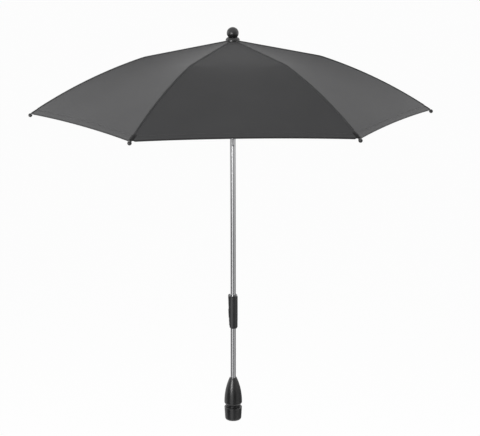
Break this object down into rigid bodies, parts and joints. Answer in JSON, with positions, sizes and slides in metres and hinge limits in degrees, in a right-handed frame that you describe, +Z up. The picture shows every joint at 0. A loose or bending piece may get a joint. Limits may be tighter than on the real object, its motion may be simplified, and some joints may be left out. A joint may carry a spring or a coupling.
{
  "type": "pram parasol",
  "caption": "Clip-on pram parasol: hexagonal dark fabric canopy on folding ribs, bright tube pole with push-button tilt joint, black socket foot with twist collar and ball finial.",
  "frame": {"origin": "centre of the foot socket's mouth, on the pole's axis", "axes": "+Z up the pole, -Y towards the front, ribs every 60 degrees from +X, release button towards -X"},
  "size_m": [0.7066, 0.6128, 0.7155],
  "materials": {
    "black_plastic": "satin black moulding",
    "button_plastic": "fine matt",
    "inner_plastic": "matt black",
    "tube_chrome": "bright",
    "steel": "plain",
    "canopy_fabric": "dark grey plain weave",
    "rib_steel": "plain",
    "bracket_plastic": "matt black",
    "tip_plastic": "black",
    "pin_steel": "plain"
  },
  "bodies": {
    "foot": {"foot_boot": "black_plastic", "socket_liner": "steel", "boot_rivet": "steel", "lower_tube": "tube_chrome", "tilt_knuckle": "inner_plastic", "knuckle_rivet": "steel"},
    "collar": {"foot_collar": "black_plastic"},
    "pole": {"upper_tube": "tube_chrome", "housing_front": "black_plastic", "housing_rear": "black_plastic", "housing_screw_upper": "steel", "housing_screw_lower": "steel", "tilt_pin": "steel", "housing_rivet": "steel", "brake_spring": "steel", "tube_plug": "inner_plastic", "top_hub": "inner_plastic", "hub_ring": "steel", "top_washer": "inner_plastic", "canopy": "canopy_fabric", "finial_knob": "black_plastic", "finial_stud": "steel"},
    "brake": {"brake_shoe": "inner_plastic"},
    "button": {"release_button": "button_plastic"},
    "catch": {"runner_catch": "steel"},
    "runner": {"runner": "inner_plastic"},
    "rib_1": {"rib_1": "rib_steel", "rib_bracket_1": "bracket_plastic", "rib_pin_1": "pin_steel", "rib_tip_1": "tip_plastic"},
    "stretcher_1": {"stretcher_1": "rib_steel"},
    "rib_2": {"rib_2": "rib_steel", "rib_bracket_2": "bracket_plastic", "rib_pin_2": "pin_steel", "rib_tip_2": "tip_plastic"},
    "stretcher_2": {"stretcher_2": "rib_steel"},
    "rib_3": {"rib_3": "rib_steel", "rib_bracket_3": "bracket_plastic", "rib_pin_3": "pin_steel", "rib_tip_3": "tip_plastic"},
    "stretcher_3": {"stretcher_3": "rib_steel"},
    "rib_4": {"rib_4": "rib_steel", "rib_bracket_4": "bracket_plastic", "rib_pin_4": "pin_steel", "rib_tip_4": "tip_plastic"},
    "stretcher_4": {"stretcher_4": "rib_steel"},
    "rib_5": {"rib_5": "rib_steel", "rib_bracket_5": "bracket_plastic", "rib_pin_5": "pin_steel", "rib_tip_5": "tip_plastic"},
    "stretcher_5": {"stretcher_5": "rib_steel"},
    "rib_6": {"rib_6": "rib_steel", "rib_bracket_6": "bracket_plastic", "rib_pin_6": "pin_steel", "rib_tip_6": "tip_plastic"},
    "stretcher_6": {"stretcher_6": "rib_steel"}
  },
  "joints": [
    {"name": "collar_twist", "type": "hinge", "parent": "foot", "child": "collar", "pos_m": [0, 0, 0.015], "axis": [0, 0, 1], "range_deg": [0, 60]},
    {"name": "pole_tilt", "type": "hinge", "parent": "foot", "child": "pole", "pos_m": [0, 0, 0.183], "axis": [0, 1, 0], "range_deg": [-60, 60]},
    {"name": "button_press", "type": "slide", "parent": "pole", "child": "button", "axis": [1, 0, 0], "range_m": [0, 0.0016], "stiffness_N_per_m": 900, "deforming": ["brake_spring"]},
    {"name": "brake_lift", "type": "slide", "parent": "pole", "child": "brake", "axis": [0, 0, 1], "range_m": [0, 0.0008]},
    {"name": "catch_press", "type": "slide", "parent": "pole", "child": "catch", "axis": [0, 1, 0], "range_m": [0, 0.0024], "stiffness_N_per_m": 600},
    {"name": "runner_slide", "type": "slide", "parent": "pole", "child": "runner", "axis": [0, 0, 1], "range_m": [-0.1628, 0], "deforming": ["canopy", "runner_catch"]},
    {"name": "rib_fold_1", "type": "hinge", "parent": "pole", "child": "rib_1", "pos_m": [0.009, 0, 0.6873], "axis": [0, 1, 0], "range_deg": [0, 69.2]},
    {"name": "stretcher_fold_1", "type": "hinge", "parent": "rib_1", "child": "stretcher_1", "pos_m": [0.13514, 0, 0.66032], "axis": [0, 1, 0], "range_deg": [-117.23, 0]},
    {"name": "rib_fold_2", "type": "hinge", "parent": "pole", "child": "rib_2", "pos_m": [0.0045, 0.00779, 0.6873], "axis": [-0.866, 0.5, 0], "range_deg": [0, 69.2]},
    {"name": "stretcher_fold_2", "type": "hinge", "parent": "rib_2", "child": "stretcher_2", "pos_m": [0.06757, 0.11704, 0.66032], "axis": [-0.866, 0.5, 0], "range_deg": [-117.23, 0]},
    {"name": "rib_fold_3", "type": "hinge", "parent": "pole", "child": "rib_3", "pos_m": [-0.0045, 0.00779, 0.6873], "axis": [-0.866, -0.5, 0], "range_deg": [0, 69.2]},
    {"name": "stretcher_fold_3", "type": "hinge", "parent": "rib_3", "child": "stretcher_3", "pos_m": [-0.06757, 0.11704, 0.66032], "axis": [-0.866, -0.5, 0], "range_deg": [-117.23, 0]},
    {"name": "rib_fold_4", "type": "hinge", "parent": "pole", "child": "rib_4", "pos_m": [-0.009, 0, 0.6873], "axis": [0, -1, 0], "range_deg": [0, 69.2]},
    {"name": "stretcher_fold_4", "type": "hinge", "parent": "rib_4", "child": "stretcher_4", "pos_m": [-0.13514, 0, 0.66032], "axis": [0, -1, 0], "range_deg": [-117.23, 0]},
    {"name": "rib_fold_5", "type": "hinge", "parent": "pole", "child": "rib_5", "pos_m": [-0.0045, -0.00779, 0.6873], "axis": [0.866, -0.5, 0], "range_deg": [0, 69.2]},
    {"name": "stretcher_fold_5", "type": "hinge", "parent": "rib_5", "child": "stretcher_5", "pos_m": [-0.06757, -0.11704, 0.66032], "axis": [0.866, -0.5, 0], "range_deg": [-117.23, 0]},
    {"name": "rib_fold_6", "type": "hinge", "parent": "pole", "child": "rib_6", "pos_m": [0.0045, -0.00779, 0.6873], "axis": [0.866, 0.5, 0], "range_deg": [0, 69.2]},
    {"name": "stretcher_fold_6", "type": "hinge", "parent": "rib_6", "child": "stretcher_6", "pos_m": [0.06757, -0.11704, 0.66032], "axis": [0.866, 0.5, 0], "range_deg": [-117.23, 0]}
  ],
  "couplings": [
    {"joint": "brake_lift", "follows": "button_press", "ratio": 0.5},
    {"joint": "rib_fold_1", "follows": "runner_slide", "rad_per_m": -7.4134},
    {"joint": "stretcher_fold_1", "follows": "runner_slide", "rad_per_m": 12.562},
    {"joint": "rib_fold_2", "follows": "runner_slide", "rad_per_m": -7.4134},
    {"joint": "stretcher_fold_2", "follows": "runner_slide", "rad_per_m": 12.562},
    {"joint": "rib_fold_3", "follows": "runner_slide", "rad_per_m": -7.4134},
    {"joint": "stretcher_fold_3", "follows": "runner_slide", "rad_per_m": 12.562},
    {"joint": "rib_fold_4", "follows": "runner_slide", "rad_per_m": -7.4134},
    {"joint": "stretcher_fold_4", "follows": "runner_slide", "rad_per_m": 12.562},
    {"joint": "rib_fold_5", "follows": "runner_slide", "rad_per_m": -7.4134},
    {"joint": "stretcher_fold_5", "follows": "runner_slide", "rad_per_m": 12.562},
    {"joint": "rib_fold_6", "follows": "runner_slide", "rad_per_m": -7.4134},
    {"joint": "stretcher_fold_6", "follows": "runner_slide", "rad_per_m": 12.562}
  ]
}
